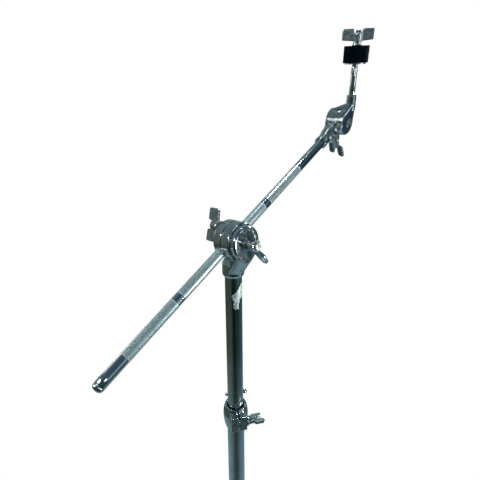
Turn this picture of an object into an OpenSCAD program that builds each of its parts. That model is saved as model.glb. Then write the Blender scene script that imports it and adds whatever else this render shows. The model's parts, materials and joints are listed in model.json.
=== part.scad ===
// Cymbal boom stand: telescopic column on a double-braced tripod, with a tilting boom.
// Origin: the column axis at floor level. +Z is up, the boom rises towards +X.
// All sizes are in millimetres.

/* [Column tubes] */
// Outer diameter of the base tube
base_od = 25.4; // [25:0.1:26]
// Outer diameter of the middle tube
middle_od = 22.2; // [22:0.1:22.4]
// Outer diameter of the upper tube
upper_od = 20; // [19.8:0.1:20.2]
// Height of the main tilter axis above the floor
tilter_z = 1000; // [980:1:1020]

/* [Boom] */
// Angle of the boom above the horizontal
boom_tilt = 31; // [10:1:40]
// Turn of the boom about its own axis, which leans the cymbal tilter
boom_roll = 7.4; // [-10:0.1:20]
// Diameter of the boom over the knurling
boom_d = 12; // [11.5:0.1:12.4]
// Length of one knurled stretch
knurl_l = 67; // [55:1:70]
// Length of one smooth band between the knurled stretches
band_l = 9; // [6:1:12]
// Diameter of the tilter's front disc
disc_d = 38.8; // [36:0.1:40]
// Diameter of the two discs that grip the boom
grip_d = 43.2; // [40:0.1:44]

/* [Cymbal seat] */
// Diameter of the felt washers
felt_d = 32; // [30:1:40]
// Thickness of one felt washer
felt_h = 9.8; // [8:0.1:12]
// Diameter of the cymbal rod
rod_d = 8; // [7.8:0.1:8.2]

// Angle from the boom to the cymbal rod, in the cymbal tilter's plane
rod_turn = 68.3; // [40:0.1:110]

/* [Tripod] */
// Radius of the circle through the feet
foot_r = 300; // [260:5:320]
// Distance from a leg's top pivot to its brace pivot, and length of the brace
brace_l = 190; // [160:5:200]
// Thickness of the leg and brace straps
strap_t = 2.5; // [2:0.1:3]

/* [Hidden] */
$fn = 64;
eps = 0.01;
fit = 0.06;

base_id = 22.9;
middle_id = 20.6;
upper_id = 17.8;
base_low = 40;
base_top = 600;
middle_low = 330;
middle_top = 774;
upper_low = 560;
upper_top = tilter_z - 28;
pin_z = tilter_z - 33;

// Tripod linkage: leg pivot above, brace pivot below, both on the radius pivot_r
pivot_r = 27;
collar_z = 415;
foot_z = 12;
leg_run = foot_r - pivot_r;
leg_drop = collar_z - foot_z;
leg_l = sqrt(leg_run * leg_run + leg_drop * leg_drop);
leg_a = atan2(leg_run, leg_drop);
spider_z = collar_z - 2 * brace_l * cos(leg_a);
fin_t = 8;
strap_w = 14;
rivet_d = 5;
brace_gap = fin_t / 2 + 0.4;
leg_gap = brace_gap + strap_t + 0.5;
mid_x = pivot_r + brace_l * sin(leg_a);
mid_z = collar_z - brace_l * cos(leg_a);
end_x = pivot_r + (leg_l - 22) * sin(leg_a);
end_z = collar_z - (leg_l - 22) * cos(leg_a);

// Boom stations, measured from the tilter axis along the boom
knurl_start = -161;
boom_tip = knurl_start - 31;
knurl_end = knurl_start + 4 * knurl_l + 3 * band_l;
smooth_d = boom_d - 0.3;
boom_end = 222;
ferrule_start = 193;
drum_m = 249;
drum_r = 17.6;

// Main tilter: distances from the boom plane along the tilter axis
jaw_front = 2.4;
grip_gap = 1.2;
jaw_back = 9.6;
holder_front = 15;
serration = 1.2;
body_front = 22.8;
clamp_off = 17;

// Cymbal tilter: the drum runs from drum_back to drum_front along its own axis
drum_back = -14;
drum_split = 3;
shroud = -8;
drum_front = 11.5;
lock_m = -13;
lock_y = -3;
lock_boss = 19.5;

// Cymbal rod: offsets from the drum's centre, then places along the rod
rod_off = 10;
rod_in = -7;
rod_low = 22.1;
boss_low = 24;
boss_h = 10.5;
seat_s = 72.4;
felt_s = seat_s + 1.6;
nut_s = felt_s + 2 * felt_h;
rod_high = nut_s + 16;
wing_turn = 42;

// Height clamps: collar height, lug size and bolt place
clamp_turn = -31;
clamp_h = 32;
lug_w = 20;
lug_d = 11;
bolt_off = 6.2;
bolt_h = 18;
middle_clamp_z = middle_top + 4 - clamp_h;
base_clamp_z = base_top + 4 - clamp_h;
ear_z = middle_clamp_z + 37;

// ---------- placing helpers ----------

// Children are drawn with +Z along the boom, from the tilter axis
module on_boom() {
    translate([0, 0, tilter_z]) rotate([0, 90 - boom_tilt, 0]) children();
}

// Children are drawn with +Z along the tilter axis, towards the wing nut (-Y)
module on_tilter(y = 0) {
    translate([0, -y, tilter_z]) rotate([90, 0, 0]) children();
}

// Children are drawn in the drum's own frame: +X along the boom, +Z towards the front cover
module on_drum(z = 0) {
    on_boom() translate([0, 0, drum_m]) rotate([0, 0, boom_roll])
        rotate([90, 0, 0]) rotate([0, 0, 90]) translate([0, 0, z]) children();
}

// Children are drawn with +Z along the cymbal rod, from the foot of the drum axis
module on_rod(s = 0) {
    on_drum(rod_off) rotate([0, 0, rod_turn]) translate([s, rod_in, 0]) rotate([0, 90, 0]) children();
}

// Children are drawn with +Z along the lock bolt, away from the drum axis
module on_lock(s = 0) {
    on_drum(lock_y) translate([lock_m, -s, 0]) rotate([90, 0, 0]) children();
}

// Children are drawn in a leg's plane: X is outwards, Z is up
module on_leg(i) {
    rotate([0, 0, 120 * i + 15]) children();
}

// ---------- shared shapes ----------

module tube(od, id, low, high) {
    translate([0, 0, low])
        difference() {
            cylinder(d = od, h = high - low);
            translate([0, 0, -1]) cylinder(d = id, h = high - low + 2);
        }
}

// Outline of one wing: root at the hub, rounded free corners
module wing_outline(root_r, reach, low, high) {
    corner = 2;
    hull() {
        translate([root_r, low + 1]) square([1, high - low - 3]);
        translate([reach - corner, low + 4]) circle(corner, $fn = 32);
        translate([reach - corner, high + 2]) circle(corner, $fn = 32);
        translate([root_r + 3.5, high + 2]) circle(corner, $fn = 32);
    }
}

// Two wings in the XZ plane round a hub along +Z
module wings(root_r, reach, low, high, thick) {
    for (side = [0, 180])
        rotate([90, 0, side])
            translate([0, 0, -thick / 2]) linear_extrude(thick) wing_outline(root_r, reach, low, high);
}

// Wing bolt: shank along -Z from the hub's foot, wings from wing_low up
module wing_bolt(shank_d, shank_l, hub_d, hub_h, reach, wing_low, wing_h, turn) {
    translate([0, 0, -shank_l]) cylinder(d = shank_d, h = shank_l + 1);
    cylinder(d = hub_d + 2, h = 1.5);
    cylinder(d1 = hub_d, d2 = hub_d - 2, h = hub_h);
    rotate([0, 0, turn]) wings(hub_d / 2 - 2, reach, wing_low, wing_h, 3);
}

// ---------- tripod ----------

module base_tube() {
    color("silver") tube(base_od, base_id, base_low, base_top);
}

module base_tube_plug() {
    color([0.1, 0.1, 0.1]) {
        translate([0, 0, base_low - 6]) cylinder(d1 = base_od - 5, d2 = base_od + 1, h = 6);
        translate([0, 0, base_low]) cylinder(d = base_id - 2 * fit, h = 16);
    }
}

// Three vertical fins that carry the pivots of a collar
module fins(z, ring_d, reach_low, fin_t) {
    for (i = [0:2])
        on_leg(i)
            difference() {
                union() {
                    translate([ring_d / 2 - 3, -fin_t / 2, z - reach_low])
                        cube([pivot_r - ring_d / 2 + 3, fin_t, reach_low + 6]);
                    translate([pivot_r, fin_t / 2, z]) rotate([90, 0, 0]) cylinder(r = 7, h = fin_t);
                    translate([pivot_r - 2, -fin_t / 2, z - reach_low]) cube([7, fin_t, reach_low]);
                }
                translate([pivot_r, fin_t, z]) rotate([90, 0, 0])
                    cylinder(d = rivet_d + 2 * fit, h = 2 * fin_t);
            }
}

module leg_spider() {
    ring_low = spider_z - 48;
    color([0.75, 0.77, 0.78])
        difference() {
            union() {
                translate([0, 0, ring_low]) cylinder(d = base_od + 9, h = 20);
                fins(spider_z, base_od + 9, 46, fin_t);
            }
            translate([0, 0, ring_low - 1]) cylinder(d = base_od + 2 * fit, h = 100);
            on_leg(1.5) translate([0, 0, ring_low + 10]) rotate([0, 90, 0]) cylinder(d = 4 + 2 * fit, h = 40);
            on_leg(0.5) translate([0, 0, ring_low + 10]) rotate([0, 90, 0]) cylinder(d = 4 + 2 * fit, h = 40);
        }
}

module leg_spider_screws() {
    for (i = [0.5, 1.5])
        color("dimgray") on_leg(i) translate([base_od / 2 + 0.3, 0, spider_z - 38]) rotate([0, 90, 0])
            difference() {
                union() {
                    cylinder(d = 4, h = 6);
                    translate([0, 0, 4.4]) cylinder(d1 = 7.5, d2 = 6, h = 2.6);
                }
                translate([-0.5, -5, 6]) cube([1, 10, 2]);
            }
}

module leg_collar() {
    color([0.75, 0.77, 0.78])
        difference() {
            union() {
                translate([0, 0, collar_z - 12]) cylinder(d = base_od + 12, h = 42);
                fins(collar_z, base_od + 12, 8, 2 * leg_gap - 0.8);
                on_leg(1.5) translate([base_od / 2, -7, collar_z + 8]) cube([15, 14, 18]);
            }
            translate([0, 0, collar_z - 13]) cylinder(d = base_od + 3.4, h = 44);
            on_leg(1.5) translate([0, 0, collar_z + 17]) rotate([0, 90, 0]) cylinder(d = 6 + 2 * fit, h = 40);
        }
}

module leg_collar_bush() {
    color([0.12, 0.12, 0.13])
        difference() {
            union() {
                translate([0, 0, collar_z - 12]) cylinder(d = base_od + 3.4 - 2 * fit, h = 42);
                translate([0, 0, collar_z + 30 - eps]) cylinder(d = base_od + 3.4 - 2 * fit, h = 1);
                translate([0, 0, collar_z + 30.1]) cylinder(d = base_od + 8, h = 2);
            }
            translate([0, 0, collar_z - 13]) cylinder(d = base_od + 2 * fit, h = 50);
            on_leg(1.5) translate([0, 0, collar_z + 17]) rotate([0, 90, 0]) cylinder(d = 6.6, h = 40);
        }
}

module leg_collar_wing_bolt() {
    color("silver") on_leg(1.5) translate([base_od / 2 + 15.3, 0, collar_z + 17]) rotate([0, 90, 0])
        wing_bolt(6, 14.8, 12, 12, 21, 2, 16, 0);
}

// One strap between two pivots in a leg's plane, thickness along Y from y0
module strap(x1, z1, x2, z2, y0) {
    len = sqrt((x2 - x1) * (x2 - x1) + (z2 - z1) * (z2 - z1));
    turn = atan2(z2 - z1, x2 - x1);
    translate([x1, y0 + strap_t, z1]) rotate([90, 0, 0]) rotate([0, 0, turn])
        difference() {
            union() {
                cylinder(d = strap_w, h = strap_t);
                translate([len, 0, 0]) cylinder(d = strap_w, h = strap_t);
                translate([0, -strap_w / 2, 0]) cube([len, strap_w, strap_t]);
            }
            for (x = [0, len])
                translate([x, 0, -1]) cylinder(d = rivet_d + 2 * fit, h = strap_t + 2);
        }
}

module leg(i) {
    color("silver") on_leg(i) {
        for (y = [leg_gap, -leg_gap - strap_t])
            difference() {
                strap(pivot_r, collar_z, end_x, end_z, y);
                translate([mid_x, y - 1, mid_z]) rotate([-90, 0, 0])
                    cylinder(d = rivet_d + 2 * fit, h = strap_t + 2);
            }
        for (t = [0.55, 0.8])
            translate([pivot_r + leg_l * t * sin(leg_a), leg_gap + 0.2, collar_z - leg_l * t * cos(leg_a)])
                rotate([90, 0, 0]) cylinder(d = 8, h = 2 * leg_gap + 0.4);
    }
}

// Pivot rivets that turn with a leg: the top pivot, the brace pivot and the foot
module leg_rivets(i) {
    color("gray") on_leg(i)
        for (p = [[pivot_r, collar_z], [mid_x, mid_z], [end_x, end_z]])
            translate([p[0], 0, p[1]]) rotate([90, 0, 0]) {
                cylinder(d = rivet_d, h = 2 * (leg_gap + strap_t) + 2, center = true);
                for (side = [0, 180])
                    rotate([side, 0, 0]) translate([0, 0, leg_gap + strap_t + 0.05])
                        cylinder(d1 = 9, d2 = 6, h = 2);
            }
}

module brace(i) {
    color("silver") on_leg(i)
        for (side = [1, -1]) {
            y = side > 0 ? brace_gap : -brace_gap - strap_t;
            strap(mid_x, mid_z, pivot_r, spider_z, y);
        }
}

// Stub rivets at a brace's lower end, one in each strap, clear of the fin between them
module brace_rivets(i) {
    color("gray") on_leg(i)
        for (side = [0, 180])
            translate([pivot_r, 0, spider_z]) rotate([90 + side, 0, 0]) {
                translate([0, 0, brace_gap + 0.05]) cylinder(d = rivet_d, h = strap_t + 1);
                translate([0, 0, brace_gap + strap_t + 0.05]) cylinder(d1 = 9, d2 = 6, h = 2);
            }
}

module rubber_foot(i) {
    color([0.08, 0.08, 0.08]) on_leg(i)
        difference() {
            translate([foot_r, 0, foot_z]) rotate([0, 180 - leg_a, 0]) {
                translate([0, 0, -40]) cylinder(d = 24, h = 40);
                sphere(r = 15);
                translate([0, 0, -6]) cylinder(d = 27, h = 4);
            }
            translate([foot_r - 60, -40, -60]) cube([120, 80, 60]);
            for (y = [leg_gap, -leg_gap - strap_t])
                translate([end_x, y + strap_t + 0.1, end_z]) rotate([90, 0, 0])
                    rotate([0, 0, leg_a - 90]) {
                        translate([-30, -strap_w / 2 - 0.1, 0]) cube([30, strap_w + 0.2, strap_t + 0.2]);
                        cylinder(d = strap_w + 0.2, h = strap_t + 0.2);
                        translate([-30, -strap_w / 2 - 0.1, 0]) cube([30, strap_w + 0.2, strap_t + 0.2]);
                    }
            translate([end_x, 0, end_z]) rotate([90, 0, 0])
                cylinder(d = 10, h = 60, center = true);
        }
}

// ---------- height clamps ----------

// Barrel collar on top of a tube, with a slotted lug that the wing bolt pinches
module clamp_body(tube_od, z, turn) {
    r = tube_od / 2;
    translate([0, 0, z]) rotate([0, 0, turn])
        difference() {
            union() {
                rotate_extrude()
                    polygon([[0, 0], [r + 2, 0], [r + 3.4, 4], [r + 4.5, 12], [r + 4.9, 20], [r + 4.3, 26],
                        [r + 2.8, clamp_h], [0, clamp_h]]);
                translate([-lug_w / 2, -r - lug_d, 8]) cube([lug_w, lug_d, 20]);
            }
            translate([0, 0, -1]) cylinder(r = r + fit, h = clamp_h - 1);
            translate([0, 0, clamp_h - 3]) cylinder(r = r + 0.4, h = clamp_h);
            translate([-1, -r - 20, -1]) cube([2, 24, clamp_h + 2]);
            translate([-20, -r - bolt_off, bolt_h]) rotate([0, 90, 0]) cylinder(d = 6 + 2 * fit, h = 40);
            translate([lug_w / 2 + 0.1, -r - bolt_off, bolt_h]) rotate([0, 90, 0]) cylinder(d = 15, h = 20);
            translate([-lug_w / 2 - 10, -r - bolt_off, bolt_h]) rotate([0, 90, 0])
                cylinder(d = 11.2, h = 14.9, $fn = 6);
        }
}

// Split nylon bush between two tubes, with a flange on the outer tube's rim
module clamp_bush(outer_id, inner_od, top) {
    difference() {
        union() {
            translate([0, 0, top - 36]) cylinder(d = outer_id - 2 * fit, h = 36);
            translate([0, 0, top + 0.1]) cylinder(d = outer_id + 1.2, h = 1.8);
            translate([0, 0, top - eps]) cylinder(d = outer_id - 2 * fit, h = 1);
        }
        translate([0, 0, top - 40]) cylinder(d = inner_od + 2 * fit, h = 50);
    }
}

module clamp_bolt(tube_od, z, turn) {
    translate([0, 0, z]) rotate([0, 0, turn])
        translate([lug_w / 2 + 0.2, -tube_od / 2 - bolt_off, bolt_h]) rotate([0, 90, 0])
            wing_bolt(6, lug_w, 11, 12, 13.5, 6, 17, 67);
}

module clamp_nut(tube_od, z, turn) {
    translate([0, 0, z]) rotate([0, 0, turn])
        translate([-lug_w / 2 + 0.2, -tube_od / 2 - bolt_off, bolt_h]) rotate([0, 90, 0])
            difference() {
                cylinder(d = 10.5, h = 4.6, $fn = 6);
                translate([0, 0, -1]) cylinder(d = 6 + 2 * fit, h = 8);
            }
}

module base_clamp() {
    color([0.75, 0.77, 0.78]) clamp_body(base_od, base_clamp_z, clamp_turn);
}

module base_clamp_bush() {
    color([0.12, 0.12, 0.13]) clamp_bush(base_id, middle_od, base_top);
}

module base_clamp_wing_bolt() {
    color("silver") clamp_bolt(base_od, base_clamp_z, clamp_turn);
}

module base_clamp_nut() {
    color("dimgray") clamp_nut(base_od, base_clamp_z, clamp_turn);
}

module middle_tube() {
    color("silver") tube(middle_od, middle_id, middle_low, middle_top);
}

module middle_tube_collar() {
    color([0.12, 0.12, 0.13])
        difference() {
            translate([0, 0, middle_low - 3]) cylinder(d = base_id - 0.3, h = 3 - eps);
            translate([0, 0, middle_low - 4]) cylinder(d = middle_id, h = 5);
        }
}

module middle_clamp() {
    color([0.75, 0.77, 0.78])
        difference() {
            union() {
                clamp_body(middle_od, middle_clamp_z, clamp_turn);
                rotate([0, 0, clamp_turn]) translate([-7, 9.5, ear_z - 16]) cube([14, 6, 20]);
            }
            translate([0, 0, middle_clamp_z - 1]) cylinder(d = middle_od + 2 * fit, h = 60);
            rotate([0, 0, clamp_turn]) translate([-30, 13, ear_z]) rotate([0, 90, 0])
                cylinder(d = 3 + 2 * fit, h = 60);
        }
}

module middle_clamp_bush() {
    color([0.12, 0.12, 0.13]) clamp_bush(middle_id, upper_od, middle_top);
}

module middle_clamp_pin() {
    color("silver") rotate([0, 0, clamp_turn]) translate([0, 13, ear_z]) rotate([0, 90, 0]) {
        translate([0, 0, -9]) cylinder(d = 3, h = 23);
        translate([0, 0, -9]) sphere(r = 2.1);
        translate([0, 0, 15.5]) sphere(r = 3);
    }
}

module middle_clamp_wing_bolt() {
    color("silver") clamp_bolt(middle_od, middle_clamp_z, clamp_turn);
}

module middle_clamp_nut() {
    color("dimgray") clamp_nut(middle_od, middle_clamp_z, clamp_turn);
}

// ---------- upper tube and main tilter ----------

module upper_tube() {
    color("silver")
        difference() {
            tube(upper_od, upper_id, upper_low, upper_top);
            translate([0, -20, pin_z]) rotate([-90, 0, 0]) cylinder(d = 3 + 2 * fit, h = 40);
        }
}

module tilter_body() {
    low = tilter_z - 43;
    rim = disc_d / 2;
    face = holder_front + serration + 0.2;
    color([0.75, 0.77, 0.78])
        difference() {
            union() {
                translate([0, 0, low])
                    rotate_extrude() polygon([[0, 0], [11, 0], [12.7, 3], [12.7, 16.5], [11.5, 18], [0, 18]]);
                hull() {
                    translate([0, 0, low + 5]) cylinder(d = 24.6, h = 13, $fn = 48);
                    on_tilter(face) translate([0, -8, 0]) cylinder(r = 14, h = body_front - face, $fn = 48);
                }
                on_tilter(face) cylinder(r = rim, h = body_front - face - 1.8);
                on_tilter(body_front - 1.8 - eps) cylinder(r1 = rim, r2 = rim - 1.8, h = 1.8);
            }
            translate([0, 0, low - 1]) cylinder(d = upper_od + 2 * fit, h = upper_top - low + 1.1);
            on_tilter(-15) cylinder(d = grip_d + 1.2, h = face + 15);
            // Room for the boom at both ends of its tilt
            on_tilter(-8) linear_extrude(16)
                polygon([[-40, 40], [40, 40], [40, -62], [0, -10.5], [-40, -62]]);
            on_tilter(0) cylinder(d = 8 + 2 * fit, h = 60);
            translate([0, -40, pin_z]) rotate([-90, 0, 0]) cylinder(d = 3 + 2 * fit, h = 80);
        }
}

module tilter_body_pin() {
    color("gray") translate([0, 12, pin_z]) rotate([90, 0, 0]) cylinder(d = 3, h = 24);
}

// Ring of ratchet teeth, each a low wedge across the ring
module ratchet_teeth(count, inner_r, outer_r, h) {
    for (i = [0:count - 1])
        rotate([0, 0, i * 360 / count])
            translate([inner_r, -0.8, 0]) cube([outer_r - inner_r, 1.6, h]);
}

module tilter_ratchet() {
    color([0.6, 0.62, 0.63]) on_tilter(holder_front + 0.15)
        difference() {
            union() {
                cylinder(r = disc_d / 2 - 1.4, h = serration - 0.2);
                ratchet_teeth(24, disc_d / 2 - 6, disc_d / 2 - 0.4, serration - 0.2);
            }
            translate([0, 0, -1]) cylinder(d = 8.4, h = 5);
        }
}

module boom_holder() {
    color([0.75, 0.77, 0.78])
        difference() {
            on_tilter(jaw_front + grip_gap) {
                cylinder(d = grip_d, h = 10.25);
                translate([0, 0, 10.25 - eps]) cylinder(d1 = grip_d, d2 = grip_d - 2, h = 1);
            }
            on_boom() cylinder(d = boom_d + 2 * fit, h = 80, center = true);
            on_tilter(holder_front - 7) cylinder(d = 8 + 2 * fit, h = 20);
            on_clamp_axis(-1) cylinder(d = 6 + 2 * fit, h = holder_front - 3);
        }
}

// Children are drawn with +Z towards +Y, on the boom clamp's bolt axis
module on_clamp_axis(y) {
    translate([-clamp_off * sin(boom_tilt), -y, tilter_z + clamp_off * cos(boom_tilt)])
        rotate([90, 0, 0]) children();
}

module boom_jaw() {
    color([0.75, 0.77, 0.78])
        difference() {
            on_tilter(-jaw_back) {
                cylinder(d1 = grip_d - 3, d2 = grip_d, h = 1.5);
                translate([0, 0, 1.5]) cylinder(d = grip_d, h = jaw_back + jaw_front - 1.5);
            }
            on_boom() cylinder(d = boom_d + 2 * fit, h = 80, center = true);
            on_clamp_axis(-jaw_back - 1) cylinder(d = 6 + 2 * fit, h = jaw_back + 5);
        }
}

module boom_clamp_washer() {
    color("silver") on_clamp_axis(-jaw_back - 1.3)
        difference() {
            cylinder(d = 12, h = 1.2);
            translate([0, 0, -1]) cylinder(d = 6.4, h = 4);
        }
}

module boom_clamp_wing_bolt() {
    color("silver") on_clamp_axis(-jaw_back - 1.4) rotate([180, 0, 0]) wing_bolt(6, 18, 12, 12, 19, 2, 15, 102);
}

module tilter_bolt() {
    color("gray") on_tilter(holder_front - 6.9) cylinder(d = 8, h = 31);
}

// Outline of a wing that leans forward off the front of its nut
module forward_wing_outline() {
    hull() {
        translate([5, 2]) square([1, 8]);
        translate([22, 13]) circle(2, $fn = 32);
        translate([22, 17]) circle(2, $fn = 32);
        translate([14, 17]) circle(2, $fn = 32);
    }
}

module tilter_wing_nut() {
    color("silver") on_tilter(body_front + 0.2)
        difference() {
            union() {
                cylinder(d = 17, h = 1.6);
                cylinder(d1 = 15, d2 = 13, h = 13);
                for (turn = [-60, 120])
                    rotate([90, 0, turn])
                        translate([0, 0, -1.6]) linear_extrude(3.2) forward_wing_outline();
            }
            translate([0, 0, -1]) cylinder(d = 8 + 2 * fit, h = 20);
        }
}

// ---------- boom ----------

module boom_tube() {
    color("silver") on_boom()
        difference() {
            union() {
                translate([0, 0, boom_tip + 1]) cylinder(d = smooth_d, h = boom_end - boom_tip - 1);
                for (i = [0:3])
                    translate([0, 0, knurl_start + i * (knurl_l + band_l)]) {
                        cylinder(d = boom_d, h = knurl_l);
                    }
            }
            translate([0, 0, boom_tip]) cylinder(d = boom_d - 2.6, h = boom_end - boom_tip + 1);
        }
}

module boom_end_cap() {
    color("silver") on_boom() translate([0, 0, boom_tip]) {
        translate([0, 0, 0.8]) cylinder(d = boom_d - 2.6 - 2 * fit, h = 10);
        translate([0, 0, 0.9]) intersection() {
            sphere(d = smooth_d);
            translate([0, 0, -10]) cylinder(d = smooth_d, h = 10);
        }
    }
}

module boom_ferrule() {
    color([0.75, 0.77, 0.78]) on_boom()
        difference() {
            union() {
                translate([0, 0, ferrule_start]) cylinder(d = 17, h = 5);
                translate([0, 0, ferrule_start + 5 - eps]) cylinder(d = 15.5, h = 9);
                translate([0, 0, ferrule_start + 14 - 2 * eps]) cylinder(d = 18, h = 4);
            }
            translate([0, 0, ferrule_start - 1]) cylinder(d = smooth_d + 2 * fit, h = 22);
        }
}

// ---------- cymbal tilter ----------

// Block on the boom's end with the rear half of the hinge drum
module tilter_block() {
    low = ferrule_start + 18.2;
    color([0.7, 0.72, 0.73])
        difference() {
            union() {
                on_boom() translate([0, 0, low]) cylinder(d = 20, h = 10);
                hull() {
                    on_boom() translate([0, 0, low + 4]) cylinder(d = 19.5, h = 4, $fn = 32);
                    on_drum(-11) translate([-drum_r + 1, -9, 0]) cube([6, 18, 13]);
                }
                on_drum(drum_back) cylinder(r = drum_r, h = drum_split - drum_back);
                on_lock(8) cylinder(d = 13, h = lock_boss - 8);
            }
            on_boom() translate([0, 0, low - 1]) cylinder(d = smooth_d + 2 * fit, h = boom_end - low + 1.1);
            on_drum(drum_back - 6) cylinder(d = 6 + 2 * fit, h = 40);
            on_lock(5) cylinder(d = 6 + 2 * fit, h = 20);
            // Slot across the foot of the drum, above the arm
            hull()
                for (z = [-11, -3])
                    on_drum(z) rotate([0, 0, 160]) translate([drum_r - 3, 0, 0]) rotate([0, 90, 0])
                        cylinder(d = 4, h = 12, $fn = 32);
            // Split that lets the block grip the boom
            on_drum(-16) translate([-40, -0.7, 0]) cube([23, 1.4, 13]);
            on_drum(drum_split) cylinder(r = drum_r + 1, h = 20);
        }
}

// Front half of the hinge drum with the boss that holds the cymbal rod
module rod_holder() {
    low = drum_split + 0.3;
    color([0.7, 0.72, 0.73])
        difference() {
            union() {
                on_drum(low) cylinder(r = drum_r, h = drum_front - low - 1.5);
                on_drum(drum_front - 1.5 - eps) cylinder(r1 = drum_r, r2 = drum_r - 1.5, h = 1.5);
                hull() {
                    on_rod(boss_low - 8) cylinder(d = 11.6, h = 8, $fn = 32);
                    on_drum(low) cylinder(r = drum_r - 1.5, h = drum_front - low - 0.4, $fn = 48);
                    on_drum(shroud) rotate([0, 0, rod_turn]) translate([drum_r - 4, -7, 0]) cube([5, 13, 4]);
                }
                on_rod(boss_low - 8) cylinder(d = 12.8, h = boss_h + 8);
            }
            on_drum(-20) cylinder(d = 6 + 2 * fit, h = 50);
            on_drum(drum_front - 0.4) cylinder(d = 11, h = 10);
            on_rod(rod_low - 0.1) cylinder(d = rod_d + 2 * fit, h = 40);
            on_drum(-15) cylinder(r = drum_r + 1, h = low + 14.9);
        }
}

module rod_holder_pivot() {
    color("gray") on_drum(0) {
        translate([0, 0, drum_back - 2]) cylinder(d = 6, h = drum_front - drum_back + 2.6);
        translate([0, 0, drum_back - 2.2]) cylinder(d1 = 8, d2 = 10, h = 2.1);
        translate([0, 0, drum_front - 0.3]) cylinder(d1 = 9, d2 = 6.5, h = 2);
    }
}

module rod_lock_wing_bolt() {
    color("silver") on_lock(lock_boss + 0.2) wing_bolt(6, 13, 11, 14, 14, 8, 22, 109);
}

module cymbal_rod() {
    color("silver") {
        on_rod(rod_low) cylinder(d = rod_d, h = rod_high - rod_low);
        on_rod(rod_high) cylinder(d1 = rod_d, d2 = rod_d - 3, h = 1.5);
    }
}

module seat_washer() {
    color("silver") on_rod(seat_s)
        difference() {
            cylinder(d = felt_d - 5, h = 1.5);
            translate([0, 0, -1]) cylinder(d = rod_d + 2 * fit, h = 4);
        }
}

module rod_sleeve() {
    color([0.1, 0.1, 0.1]) on_rod(felt_s)
        difference() {
            cylinder(d = 12, h = 2 * felt_h - 1);
            translate([0, 0, -1]) cylinder(d = rod_d + 2 * fit, h = 30);
        }
}

module felt(s) {
    on_rod(s)
        difference() {
            cylinder(d = felt_d, h = felt_h - 0.1);
            translate([0, 0, -1]) cylinder(d = 12.6, h = 20);
        }
}

module lower_felt() {
    color([0.06, 0.07, 0.09]) felt(felt_s);
}

module upper_felt() {
    color([0.06, 0.07, 0.09]) felt(felt_s + felt_h);
}

module cymbal_wing_nut() {
    color("silver") on_rod(nut_s)
        difference() {
            union() {
                cylinder(d = 12, h = 1.4);
                cylinder(d = 10.4, h = 14);
                rotate([0, 0, wing_turn]) wings(4.2, 20, 4, 15, 3);
            }
            translate([0, 0, -1]) cylinder(d = rod_d + 2 * fit, h = 30);
        }
}

base_tube();
base_tube_plug();
leg_spider();
leg_spider_screws();
leg_collar();
leg_collar_bush();
leg_collar_wing_bolt();
leg(0);  // leg_1
leg(1);  // leg_2
leg(2);  // leg_3
leg_rivets(0);  // leg_rivets_1
leg_rivets(1);  // leg_rivets_2
leg_rivets(2);  // leg_rivets_3
brace(0);  // brace_1
brace(1);  // brace_2
brace(2);  // brace_3
brace_rivets(0);  // brace_rivets_1
brace_rivets(1);  // brace_rivets_2
brace_rivets(2);  // brace_rivets_3
rubber_foot(0);  // rubber_foot_1
rubber_foot(1);  // rubber_foot_2
rubber_foot(2);  // rubber_foot_3
base_clamp();
base_clamp_bush();
base_clamp_wing_bolt();
base_clamp_nut();
middle_tube();
middle_tube_collar();
middle_clamp();
middle_clamp_bush();
middle_clamp_pin();
middle_clamp_wing_bolt();
middle_clamp_nut();
upper_tube();
tilter_body();
tilter_body_pin();
tilter_ratchet();
tilter_bolt();
tilter_wing_nut();
boom_holder();
boom_jaw();
boom_clamp_washer();
boom_clamp_wing_bolt();
boom_tube();
boom_end_cap();
boom_ferrule();
tilter_block();
rod_holder();
rod_holder_pivot();
rod_lock_wing_bolt();
cymbal_rod();
seat_washer();
rod_sleeve();
lower_felt();
upper_felt();
cymbal_wing_nut();
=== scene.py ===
import json
import math

import bmesh
import bpy
from mathutils import Matrix, Vector, noise


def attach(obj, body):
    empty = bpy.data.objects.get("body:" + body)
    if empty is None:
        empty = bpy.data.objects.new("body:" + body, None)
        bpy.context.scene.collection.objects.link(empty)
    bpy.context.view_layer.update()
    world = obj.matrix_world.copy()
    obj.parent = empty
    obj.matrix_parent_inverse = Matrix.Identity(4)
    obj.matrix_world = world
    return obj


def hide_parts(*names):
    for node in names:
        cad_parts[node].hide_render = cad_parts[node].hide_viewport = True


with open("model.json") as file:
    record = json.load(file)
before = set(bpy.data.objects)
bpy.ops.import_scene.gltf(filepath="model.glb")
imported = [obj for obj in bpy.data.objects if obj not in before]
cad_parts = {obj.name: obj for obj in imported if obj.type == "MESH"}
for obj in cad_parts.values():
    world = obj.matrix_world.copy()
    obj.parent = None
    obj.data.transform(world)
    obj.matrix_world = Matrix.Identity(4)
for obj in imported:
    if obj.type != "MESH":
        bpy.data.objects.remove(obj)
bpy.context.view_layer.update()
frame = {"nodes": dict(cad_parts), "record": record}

MM = 0.001
nodes = frame["nodes"]
record = frame["record"]
joints = {j["name"]: j for j in record["behaviour"]["joints"]}
slots = {s["node"]: s["material_slot"] for s in record["subparts"]}
body_names = {n: b for b, ns in record["behaviour"]["bodies"].items() for n in ns}

TILTER = Vector(joints["boom_tilt"]["pos_m"])
BOOM = Vector(joints["boom_reach"]["axis"]).normalized()
NUT = Vector(joints["cymbal_nut_turn"]["pos_m"])
ROD = Vector(joints["cymbal_nut_turn"]["axis"]).normalized()
UP = Vector((0, 0, 1))


# ---------- camera ----------

SENSOR = 36
FOCAL = 0.723125 * SENSOR
PITCH = math.radians(16.8)
ROLL = math.radians(-0.6)
TURN = math.radians(44.6)
RIGHT = Vector((math.cos(TURN), -math.sin(TURN), 0))
AHEAD = Vector((math.sin(TURN), math.cos(TURN), 0))
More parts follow.
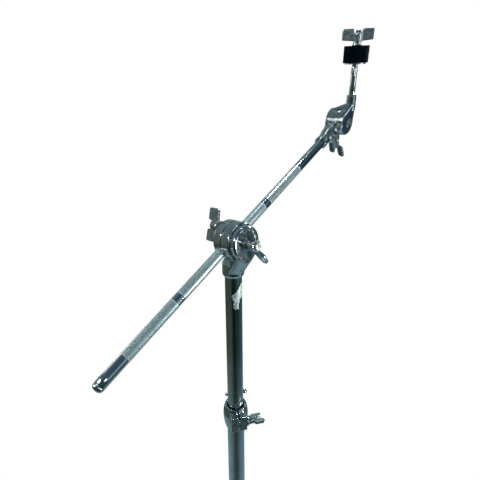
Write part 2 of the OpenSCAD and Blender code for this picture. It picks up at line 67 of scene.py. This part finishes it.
# Where the camera stands, seen from the tilter
TO_RIGHT, IN_FRONT, ABOVE = 8.05 * MM, 370.3 * MM, 111 * MM


def place_camera():
    spot = TILTER + RIGHT * TO_RIGHT - AHEAD * IN_FRONT + UP * ABOVE
    back = -(AHEAD * math.cos(PITCH) - UP * math.sin(PITCH))
    up = AHEAD * math.sin(PITCH) + UP * math.cos(PITCH)
    side = RIGHT * math.cos(ROLL) + up * math.sin(ROLL)
    up = up * math.cos(ROLL) - RIGHT * math.sin(ROLL)
    data = bpy.data.cameras.new("camera")
    data.lens = FOCAL
    data.sensor_width = SENSOR
    data.clip_start = 0.01
    camera = bpy.data.objects.new("camera", data)
    turn = Matrix((side, up, back)).transposed().to_4x4()
    camera.matrix_world = Matrix.Translation(spot) @ turn
    bpy.context.scene.collection.objects.link(camera)
    bpy.context.scene.camera = camera


# ---------- materials ----------

def new_material(name):
    mat = bpy.data.materials.new(name)
    mat.use_nodes = True
    tree = mat.node_tree
    shader = tree.nodes["Principled BSDF"]
    coords = tree.nodes.new("ShaderNodeTexCoord")
    return mat, tree, shader, coords.outputs["Object"]


def noise_node(tree, coords, scale, detail=4.0, stretch=None):
    node = tree.nodes.new("ShaderNodeTexNoise")
    node.inputs["Scale"].default_value = scale
    node.inputs["Detail"].default_value = detail
    if stretch:
        mapping = tree.nodes.new("ShaderNodeMapping")
        mapping.inputs["Scale"].default_value = stretch
        tree.links.new(coords, mapping.inputs["Vector"])
        coords = mapping.outputs["Vector"]
    tree.links.new(coords, node.inputs["Vector"])
    return node.outputs["Fac"]


def ramp(tree, value, stops):
    node = tree.nodes.new("ShaderNodeValToRGB")
    ends = node.color_ramp.elements
    while len(ends) < len(stops):
        ends.new(0.5)
    for end, (place, colour) in zip(ends, stops):
        end.position = place
        end.color = colour if len(colour) == 4 else (*colour, 1)
    tree.links.new(value, node.inputs["Fac"])
    return node.outputs["Color"]


def remap(tree, value, low, high, start=0.3, end=0.7):
    node = tree.nodes.new("ShaderNodeMapRange")
    node.inputs["From Min"].default_value = start
    node.inputs["From Max"].default_value = end
    node.inputs["To Min"].default_value = low
    node.inputs["To Max"].default_value = high
    tree.links.new(value, node.inputs["Value"])
    return node.outputs["Result"]


def maths(tree, operation, first, second=None):
    node = tree.nodes.new("ShaderNodeMath")
    node.operation = operation
    for socket, value in zip(node.inputs, (first, second)):
        if hasattr(value, "is_linked"):
            tree.links.new(value, socket)
        elif value is not None:
            socket.default_value = value
    return node.outputs[0]


def bump(tree, shader, height, strength, distance):
    node = tree.nodes.new("ShaderNodeBump")
    node.inputs["Strength"].default_value = strength
    node.inputs["Distance"].default_value = distance
    tree.links.new(height, node.inputs["Height"])
    tree.links.new(node.outputs["Normal"], shader.inputs["Normal"])


def plated(name, light, dark, rough, ripple, grain):
    """Chrome plate: faint cloudy tint, uneven polish and a fine ripple from the metal below."""
    mat, tree, shader, coords = new_material(name)
    shader.inputs["Metallic"].default_value = 1.0
    cloud = noise_node(tree, coords, 90, 5)
    tree.links.new(ramp(tree, cloud, [(0.3, dark), (0.65, light)]), shader.inputs["Base Color"])
    smear = noise_node(tree, coords, 260, 6)
    tree.links.new(remap(tree, smear, rough * 0.7, rough * 1.6), shader.inputs["Roughness"])
    bump(tree, shader, noise_node(tree, coords, grain, 3), ripple, 0.0002)
    return mat


def tube_chrome():
    mat, tree, shader, coords = new_material("chrome_tube")
    shader.inputs["Metallic"].default_value = 1.0
    cloud = noise_node(tree, coords, 60, 5)
    colour = ramp(tree, cloud, [(0.3, (0.56, 0.61, 0.62)), (0.7, (0.72, 0.76, 0.78))])
    tree.links.new(colour, shader.inputs["Base Color"])
    drawn = noise_node(tree, coords, 900, 4, (1, 1, 0.02))
    tree.links.new(remap(tree, drawn, 0.035, 0.13), shader.inputs["Roughness"])
    bump(tree, shader, drawn, 0.05, 0.0002)
    return mat


def knurl_chrome():
    mat, tree, shader, coords = new_material("knurled_chrome")
    shader.inputs["Metallic"].default_value = 0.45
    cloud = noise_node(tree, coords, 500, 5)
    colour = ramp(tree, cloud, [(0.3, (0.44, 0.55, 0.57)), (0.7, (0.70, 0.82, 0.85))])
    tree.links.new(colour, shader.inputs["Base Color"])
    tree.links.new(remap(tree, noise_node(tree, coords, 1500, 3), 0.25, 0.45), shader.inputs["Roughness"])
    return mat


def zinc_steel():
    mat, tree, shader, coords = new_material("zinc_steel")
    shader.inputs["Metallic"].default_value = 1.0
    cloud = noise_node(tree, coords, 300, 6)
    colour = ramp(tree, cloud, [(0.3, (0.36, 0.37, 0.37)), (0.7, (0.60, 0.61, 0.60))])
    tree.links.new(colour, shader.inputs["Base Color"])
    tree.links.new(remap(tree, cloud, 0.22, 0.42), shader.inputs["Roughness"])
    bump(tree, shader, noise_node(tree, coords, 1500, 3), 0.15, 0.0002)
    return mat


def black_nylon():
    mat, tree, shader, coords = new_material("black_nylon")
    cloud = noise_node(tree, coords, 400, 5)
    tree.links.new(ramp(tree, cloud, [(0.3, (0.018, 0.018, 0.02)), (0.7, (0.05, 0.05, 0.055))]),
                   shader.inputs["Base Color"])
    tree.links.new(remap(tree, cloud, 0.38, 0.55), shader.inputs["Roughness"])
    bump(tree, shader, noise_node(tree, coords, 2500, 3), 0.2, 0.0002)
    return mat


def rubber():
    mat, tree, shader, coords = new_material("rubber")
    cloud = noise_node(tree, coords, 150, 6)
    tree.links.new(ramp(tree, cloud, [(0.3, (0.012, 0.012, 0.012)), (0.75, (0.05, 0.048, 0.045))]),
                   shader.inputs["Base Color"])
    tree.links.new(remap(tree, cloud, 0.6, 0.85), shader.inputs["Roughness"])
    bump(tree, shader, noise_node(tree, coords, 1200, 5), 0.35, 0.0003)
    return mat


def black_felt():
    mat, tree, shader, coords = new_material("black_felt")
    fibre = noise_node(tree, coords, 1400, 8, (1, 1, 2.2))
    cloud = noise_node(tree, coords, 160, 5)
    mixed = maths(tree, "ADD", maths(tree, "MULTIPLY", fibre, 0.6), maths(tree, "MULTIPLY", cloud, 0.4))
    colour = ramp(tree, mixed, [(0.35, (0.0005, 0.0018, 0.005)), (0.5, (0.0012, 0.0035, 0.0085)),
                                (0.68, (0.004, 0.0085, 0.016))])
    tree.links.new(colour, shader.inputs["Base Color"])
    shader.inputs["Roughness"].default_value = 0.95
    shader.inputs["Specular IOR Level"].default_value = 0.06
    bump(tree, shader, fibre, 0.8, 0.0006)
    return mat


def foil():
    mat, tree, shader, coords = new_material("worn_label")
    worn = noise_node(tree, coords, 420, 6, (1, 1, 0.6))
    colour = ramp(tree, worn, [(0.36, (0.40, 0.46, 0.48)), (0.46, (0.74, 0.84, 0.84)),
                               (0.60, (0.90, 0.96, 0.95))])
    tree.links.new(colour, shader.inputs["Base Color"])
    tree.links.new(remap(tree, worn, 0.30, 0.55), shader.inputs["Roughness"])
    shader.inputs["Metallic"].default_value = 0.25
    bump(tree, shader, worn, 0.4, 0.0003)
    return mat


MATERIALS = {
    "chrome_tube": tube_chrome(),
    "knurled_chrome": knurl_chrome(),
    "cast_chrome": plated("cast_chrome", (0.68, 0.73, 0.74), (0.50, 0.56, 0.58), 0.11, 0.10, 260),
    "wing_chrome": plated("wing_chrome", (0.66, 0.70, 0.70), (0.46, 0.51, 0.51), 0.17, 0.12, 300),
    "strap_chrome": plated("strap_chrome", (0.72, 0.76, 0.78), (0.56, 0.61, 0.62), 0.09, 0.05, 200),
    "zinc_steel": zinc_steel(),
    "black_nylon": black_nylon(),
    "rubber": rubber(),
    "black_felt": black_felt(),
}
FOIL = foil()


# ---------- mesh helpers ----------

def paint(obj, mat):
    obj.data.materials.clear()
    obj.data.materials.append(mat)


def finished(obj, node=None, body=None, slot=None, replaced=()):
    """Paints the piece with its slot's material, hangs it on its body and hides the CAD nodes that it
    stands for.
    """
    slot = slot or slots[node]
    paint(obj, MATERIALS[slot])
    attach(obj, body or body_names[node])
    if replaced:
        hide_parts(*replaced)
    return obj


def mesh_piece(name, bm, smooth=True):
    mesh = bpy.data.meshes.new(name)
    bmesh.ops.recalc_face_normals(bm, faces=bm.faces)
    bm.to_mesh(mesh)
    bm.free()
    for face in mesh.polygons:
        face.use_smooth = smooth
    obj = bpy.data.objects.new(name, mesh)
    bpy.context.scene.collection.objects.link(obj)
    return obj


def applied(obj):
    """The object with its modifiers worked into its mesh."""
    graph = bpy.context.evaluated_depsgraph_get()
    mesh = bpy.data.meshes.new_from_object(obj.evaluated_get(graph))
    obj.modifiers.clear()
    obj.data = mesh
    for face in mesh.polygons:
        face.use_smooth = True
    return obj


def rounded(obj, voxel, rounds):
    """Fuses the object into one skin and softens its edges, as casting and plating do."""
    remesh = obj.modifiers.new("skin", "REMESH")
    remesh.mode = "VOXEL"
    remesh.voxel_size = voxel
    soften = obj.modifiers.new("soften", "SMOOTH")
    soften.factor = 0.5
    soften.iterations = rounds
    return applied(obj)


def cast(node, voxel=0.45 * MM, rounds=4):
    """A rounded metal casting in place of a CAD node."""
    obj = bpy.data.objects.new(node + "_cast", nodes[node].data.copy())
    bpy.context.scene.collection.objects.link(obj)
    rounded(obj, voxel, rounds)
    return finished(obj, node, replaced=(node,))


def axes_for(direction):
    """Two directions square to a given one."""
    side = direction.cross(UP)
    if side.length < 0.1:
        side = direction.cross(Vector((0, 1, 0)))
    side.normalize()
    return side, direction.cross(side).normalized()


def lathe(bm, start, direction, profile, count=64, radius_at=None):
    """Sweeps (distance, radius) pairs round an axis. A radius of 0 closes the end."""
    side, other = axes_for(direction)
    rings = []
    for i, (along, radius) in enumerate(profile):
        if radius == 0:
            rings.append([bm.verts.new(start + direction * along)])
            continue
        ring = []
        for k in range(count):
            angle = 2 * math.pi * k / count
            r = radius_at(i, k, along, radius) if radius_at else radius
            ring.append(bm.verts.new(start + direction * along
                                     + (side * math.cos(angle) + other * math.sin(angle)) * r))
        rings.append(ring)
    for a, b in zip(rings, rings[1:]):
        for k in range(count):
            n = (k + 1) % count
            if len(a) == 1:
                bm.faces.new((a[0], b[n], b[k]))
            elif len(b) == 1:
                bm.faces.new((a[k], a[n], b[0]))
            else:
                bm.faces.new((a[k], a[n], b[n], b[k]))
    return rings


# ---------- boom ----------

# Distances along the boom are measured from the tilter axis
KNURL_L, BAND_L, KNURL_START = 67 * MM, 9 * MM, -161 * MM
SMOOTH_R, KNURL_R = 5.85 * MM, 6.0 * MM
TUBE_LOW, TUBE_HIGH, TUBE_BORE_R = -191 * MM, 221.9 * MM, 4.8 * MM
PLUG_TIP, PLUG_INNER, PLUG_R = -196.6 * MM, -183 * MM, 4.6 * MM


def boom_knurls():
    """The boom's four stretches of diamond knurling."""
    depth, count, pitch = 0.24 * MM, 72, 1.05 * MM
    lead_in, step, sunk = 0.5 * MM, 0.05 * MM, SMOOTH_R - 0.3 * MM
    bm = bmesh.new()
    for i in range(4):
        start = KNURL_START + i * (KNURL_L + BAND_L)
        end = start + KNURL_L
        rows = int((KNURL_L - 1.4 * MM) / (pitch / 2))
        profile = [(start, sunk), (start + step, SMOOTH_R), (start + lead_in, KNURL_R)]
        profile += [(start + lead_in + k * pitch / 2, KNURL_R) for k in range(1, rows)]
        profile += [(end - lead_in, KNURL_R), (end - step, SMOOTH_R), (end, sunk)]
        last = len(profile) - 3

        def grooved(j, k, along, radius, last=last):
            return radius - depth if 3 <= j < last and (j + k) % 2 else radius
        lathe(bm, TILTER, BOOM, profile, count, grooved)
    return finished(mesh_piece("boom_knurled", bm), "boom_tube", replaced=("boom_tube",))


def boom_polish():
    """The smooth tube that shows between and beyond the knurled stretches."""
    low, high, steps = TUBE_LOW, TUBE_HIGH, 40
    profile = [(low, TUBE_BORE_R), (low, SMOOTH_R - 0.2 * MM), (low + 0.3 * MM, SMOOTH_R)]
    profile += [(low + (high - low) * k / steps, SMOOTH_R) for k in range(1, steps)]
    profile += [(high, SMOOTH_R), (high, TUBE_BORE_R)]
    bm = bmesh.new()
    lathe(bm, TILTER, BOOM, profile, 96)
    return finished(mesh_piece("boom_polished", bm), body="boom", slot="chrome_tube")


def boom_end_cap():
    """Plug in the boom's lower end, with a flattened dome outside the tube."""
    bm = bmesh.new()
    shoulder, dome_start, flatness = TUBE_LOW - 0.1 * MM, TUBE_LOW - 0.2 * MM, 0.6
    dome = dome_start - PLUG_TIP
    profile = [(PLUG_TIP, 0)]
    for degrees in range(9, 91, 9):
        a = math.radians(degrees)
        profile.append((dome_start - dome * math.cos(a) ** flatness, SMOOTH_R * math.sin(a)))
    profile += [(shoulder, SMOOTH_R - 0.25 * MM), (shoulder, PLUG_R), (PLUG_INNER, PLUG_R), (PLUG_INNER, 0)]
    lathe(bm, TILTER, BOOM, profile, 64)
    return finished(mesh_piece("boom_end_plug", bm), "boom_end_cap", replaced=("boom_end_cap",))


# ---------- cymbal seat ----------

def thread_rod():
    """Cymbal rod: plain shank, then an M8 thread up to its narrowed tip."""
    below_nut, length, threaded = 71.5 * MM, 89 * MM, 42 * MM
    base, start = NUT - ROD * below_nut, length - threaded
    r, pitch, cut = 4.0 * MM, 1.25 * MM, 0.6 * MM
    count, steps = 48, 8
    profile = [(0, 0), (0, r - 0.4 * MM), (0.4 * MM, r), (start * 0.5, r), (start - 1.2 * MM, r)]
    first = len(profile)
    turns = int((length - start - 1.6 * MM) / pitch)
    for i in range(turns * steps):
        profile.append((start + i * pitch / steps, r))
    last = len(profile)
    profile += [(length - 1.2 * MM, r - cut), (length - 0.5 * MM, r - 1.1 * MM), (length, r - 2 * MM),
                (length, 0)]

    def cut_at(i, k, along, radius):
        if first <= i < last:
            phase = (along / pitch - k / count) % 1
            return radius - cut * (1 - abs(2 * phase - 1))
        return radius
    bm = bmesh.new()
    lathe(bm, base, ROD, profile, count, cut_at)
    return finished(mesh_piece("cymbal_rod_threaded", bm), "cymbal_rod", replaced=("cymbal_rod",))


FELT_PITCH = 9.8 * MM


def felt(node, start, seed):
    """Pressed felt washer: soft rim and slightly uneven sides."""
    centre = NUT + ROD * start
    h, r, hole, count = 9.7 * MM, 16 * MM, 6.3 * MM, 128
    corner = 0.5 * MM
    turns = [math.radians(d) for d in (0, 22, 45, 67, 90)]
    profile = [(0.3 * MM, hole), (0, hole + 1 * MM), (0, (hole + r) / 2)]
    profile += [(corner - corner * math.cos(a), r - corner + corner * math.sin(a)) for a in turns]
    profile += [(corner + (h - 2 * corner) * t, r) for t in (0.2, 0.4, 0.6, 0.8)]
    profile += [(h - corner + corner * math.sin(a), r - corner + corner * math.cos(a)) for a in turns]
    profile += [(h, (hole + r) / 2), (h, hole + 1 * MM), (h - 0.3 * MM, hole), (h / 2, hole),
                (0.3 * MM, hole)]

    def uneven(i, k, along, radius):
        if radius < 9 * MM:
            return radius
        angle = 2 * math.pi * k / count
        spot = Vector((math.cos(angle) * 4, math.sin(angle) * 4, along / MM * 0.35 + seed))
        fuzz = Vector((math.cos(angle) * 40, math.sin(angle) * 40, along / MM * 2 + seed))
        return radius + noise.noise(spot) * 0.15 * MM + noise.noise(fuzz) * 0.10 * MM - 0.1 * MM
    bm = bmesh.new()
    lathe(bm, centre, ROD, profile, count, uneven)
    bmesh.ops.remove_doubles(bm, verts=bm.verts, dist=0.001 * MM)
    obj = finished(mesh_piece(node + "_pad", bm), node, replaced=(node,))
    return obj


# ---------- label patch ----------

# Edges of the worn patch: height in mm, then its left and right edge in degrees from the camera's side
PATCH = [(918.0, 5, 37), (923.0, 2, 36), (930.0, 1, 44), (932.0, -6, 76), (934.5, -16, 86),
         (937.0, 0, 88), (941.0, 20, 88), (945.0, 36, 86), (949.0, 58, 84)]


def patch_edges(z):
    for (z0, left0, right0), (z1, left1, right1) in zip(PATCH, PATCH[1:]):
        if z <= z1:
            t = (z - z0) / (z1 - z0)
            return left0 + (left1 - left0) * t, right0 + (right1 - right0) * t
    return PATCH[-1][1:]


def label_patch():
    """Blank worn patch of foil round the upper tube below the tilter."""
    r, thickness = 10.005 * MM, 0.03 * MM
    low, high = PATCH[0][0], PATCH[-1][0]
    first, sweep = -24, 118
    crumbling_below, crumbling, sound = 923, 0.14, 0.34
    to_camera = math.atan2(-math.cos(TURN), -math.sin(TURN))
    cols, rows = 120, 72
    bm = bmesh.new()
    grid = []
    for j in range(rows + 1):
        z = low + (high - low) * j / rows
        line = []
        for i in range(cols + 1):
            a = to_camera + math.radians(first + sweep * i / cols)
            line.append(bm.verts.new((r * math.cos(a), r * math.sin(a), z * MM)))
        grid.append(line)
    for j in range(rows):
        z = low + (high - low) * (j + 0.5) / rows
        left, right = patch_edges(z)
        for i in range(cols):
            a = first + sweep * (i + 0.5) / cols
            ragged = noise.noise(Vector((a * 0.06, z * 0.5, 0.3))) * 9
            ragged += noise.noise(Vector((a * 0.2, z * 1.5, 4.3))) * 6
            limit = crumbling if z < crumbling_below else sound
            flaked = noise.noise(Vector((a * 0.18, z * 0.9, 7.1))) > limit
            if left + ragged < a < right - ragged * 0.5 and not flaked:
                bm.faces.new((grid[j][i], grid[j][i + 1], grid[j + 1][i + 1], grid[j + 1][i]))
    bmesh.ops.delete(bm, geom=[v for v in bm.verts if not v.link_faces], context="VERTS")
    obj = mesh_piece("blank_label_patch", bm)
    thick = obj.modifiers.new("thick", "SOLIDIFY")
    thick.thickness = thickness
    thick.offset = 1
    applied(obj)
    paint(obj, FOIL)
    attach(obj, "upper")
    return obj


# ---------- build ----------

place_camera()
boom_knurls()
boom_polish()
boom_end_cap()
thread_rod()
felt("lower_felt", -2 * FELT_PITCH, 3.0)
felt("upper_felt", -FELT_PITCH, 11.0)
label_patch()
for part in ("tilter_body", "boom_holder", "boom_jaw", "tilter_block", "rod_holder", "boom_ferrule",
             "middle_clamp", "base_clamp", "leg_spider"):
    cast(part)
cast("leg_collar", 0.35 * MM, 2)
for part in ("tilter_wing_nut", "boom_clamp_wing_bolt", "rod_lock_wing_bolt", "cymbal_wing_nut",
             "middle_clamp_wing_bolt", "base_clamp_wing_bolt", "leg_collar_wing_bolt"):
    cast(part, 0.35 * MM, 3)
for name, obj in nodes.items():
    if not obj.hide_render:
        paint(obj, MATERIALS[slots[name]])


# ---------- floor and light ----------

def floor():
    """Round grey floor, kept small so that it shows little in the chrome."""
    bm = bmesh.new()
    bmesh.ops.create_circle(bm, cap_ends=True, segments=96, radius=0.43)
    obj = mesh_piece("floor", bm, False)
    mat, tree, shader, coords = new_material("floor")
    cloud = noise_node(tree, coords, 3, 3)
    tree.links.new(ramp(tree, cloud, [(0.3, (0.24, 0.30, 0.34)), (0.7, (0.27, 0.33, 0.37))]),
                   shader.inputs["Base Color"])
    shader.inputs["Roughness"].default_value = 0.9
    paint(obj, mat)


def soft_light(name, spot, aim, size, power, colour):
    data = bpy.data.lights.new(name, "AREA")
    data.shape = "SQUARE"
    data.size = size
    data.energy = power
    data.color = colour
    light = bpy.data.objects.new(name, data)
    light.location = spot
    light.rotation_euler = (aim - spot).to_track_quat("-Z", "Y").to_euler()
    bpy.context.scene.collection.objects.link(light)


LAMP_DISTANCE = 1.5


def lamp(name, azimuth, height, size, power, colour):
    """Lamp round the tilter; azimuth 0 is the camera's side and 90 its right."""
    a, h = math.radians(azimuth), math.radians(height)
    way = (RIGHT * math.sin(a) - AHEAD * math.cos(a)) * math.cos(h) + UP * math.sin(h)
    soft_light(name, TILTER + way * LAMP_DISTANCE, TILTER, size, power, colour)


def studio():
    lamp("key", -62, 24, 0.12, 12, (0.93, 1.0, 0.98))
    lamp("side", 122, 26, 0.14, 15, (0.93, 0.99, 1.0))
    lamp("low", 72, -16, 0.14, 11, (0.93, 0.99, 1.0))
    lamp("front", 12, 8, 0.22, 1.0, (0.95, 1.0, 1.0))
    lamp("left_panel", -120, 12, 0.34, 0.8, (0.97, 1.0, 1.0))
    lamp("right_panel", 68, 6, 0.42, 1.3, (0.97, 1.0, 1.0))
    lamp("top", 150, 80, 0.2, 8, (0.96, 1.0, 1.0))


# Colours of the room round the object: (azimuth from the camera's side, towards its right) -> colour
SKY = [(-180, (0.12, 0.20, 0.21)), (-131, (0.16, 0.21, 0.22)), (-95, (0.12, 0.17, 0.18)),
       (-50, (0.060, 0.10, 0.12)), (5, (0.045, 0.089, 0.14)), (76, (0.050, 0.095, 0.12)),
       (120, (0.09, 0.15, 0.17)), (180, (0.12, 0.20, 0.21))]
MIDDLE = [(-180, (0.22, 0.33, 0.34)), (-131, (0.22, 0.28, 0.29)), (-95, (0.10, 0.13, 0.13)),
          (-60, (0.060, 0.075, 0.065)), (0, (0.030, 0.050, 0.055)), (28, (0.060, 0.10, 0.13)),
          (44, (0.27, 0.37, 0.40)), (60, (0.27, 0.37, 0.40)), (84, (0.03, 0.05, 0.08)),
          (95, (0.014, 0.028, 0.055)), (130, (0.04, 0.07, 0.09)), (180, (0.22, 0.33, 0.34))]
LEVEL = [(-180, (0.10, 0.17, 0.19)), (-137, (0.027, 0.049, 0.049)), (-104, (0.057, 0.074, 0.052)),
         (-60, (0.052, 0.078, 0.058)), (-42, (0.060, 0.076, 0.058)), (-25, (0.023, 0.039, 0.027)),
         (-8, (0.003, 0.008, 0.009)), (8, (0.006, 0.010, 0.011)), (42, (0.023, 0.039, 0.030)),
         (60, (0.015, 0.031, 0.031)), (80, (0.031, 0.063, 0.072)), (104, (0.031, 0.065, 0.081)),
         (137, (0.063, 0.13, 0.154)), (180, (0.10, 0.17, 0.19))]
LOW = [(-180, (0.21, 0.31, 0.34)), (-128, (0.21, 0.31, 0.33)), (-89, (0.154, 0.258, 0.278)),
       (-60, (0.124, 0.21, 0.23)), (-35, (0.077, 0.114, 0.114)), (-11, (0.046, 0.063, 0.053)),
       (11, (0.039, 0.058, 0.044)), (35, (0.067, 0.114, 0.12)), (60, (0.114, 0.20, 0.254)),
       (89, (0.137, 0.23, 0.29)), (128, (0.168, 0.283, 0.355)), (180, (0.21, 0.31, 0.34))]


def around(tree, azimuth, table):
    return ramp(tree, azimuth, [((a + 180) / 360, colour) for a, colour in table])


def along(tree, direction, axis):
    node = tree.nodes.new("ShaderNodeVectorMath")
    node.operation = "DOT_PRODUCT"
    tree.links.new(direction, node.inputs[0])
    node.inputs[1].default_value = axis
    return node.outputs["Value"]


def blend(tree, factor, first, second):
    node = tree.nodes.new("ShaderNodeMix")
    node.data_type = "RGBA"
    tree.links.new(factor, node.inputs[0])
    tree.links.new(first, node.inputs[6])
    tree.links.new(second, node.inputs[7])
    return node.outputs[2]


def surroundings():
    """White behind for the camera, and a darker soft room in the reflections."""
    world = bpy.data.worlds.new("studio")
    bpy.context.scene.world = world
    world.use_nodes = True
    tree = world.node_tree
    tree.nodes.clear()
    out = tree.nodes.new("ShaderNodeOutputWorld")
    mix = tree.nodes.new("ShaderNodeMixShader")
    path = tree.nodes.new("ShaderNodeLightPath")
    white = tree.nodes.new("ShaderNodeBackground")
    white.inputs["Color"].default_value = (1, 1, 1, 1)
    white.inputs["Strength"].default_value = 1.0
    room = tree.nodes.new("ShaderNodeBackground")
    direction = tree.nodes.new("ShaderNodeTexCoord").outputs["Generated"]
    height = along(tree, direction, UP)
    turn = maths(tree, "ARCTAN2", along(tree, direction, RIGHT), along(tree, direction, -AHEAD))
    azimuth = remap(tree, turn, 0, 1, -math.pi, math.pi)
    down = blend(tree, remap(tree, height, 0, 1, -0.56, -0.76), around(tree, azimuth, LEVEL),
                 around(tree, azimuth, LOW))
    upper = blend(tree, remap(tree, height, 0, 1, 0.25, 0.6), around(tree, azimuth, MIDDLE),
                  around(tree, azimuth, SKY))
    colour = blend(tree, remap(tree, height, 0, 1, -0.42, -0.2), down, upper)
    tree.links.new(colour, room.inputs["Color"])
    tree.links.new(path.outputs["Is Camera Ray"], mix.inputs["Fac"])
    tree.links.new(room.outputs[0], mix.inputs[1])
    tree.links.new(white.outputs[0], mix.inputs[2])
    tree.links.new(mix.outputs[0], out.inputs["Surface"])


floor()
studio()
surroundings()
bpy.context.scene.view_settings.view_transform = "Standard"
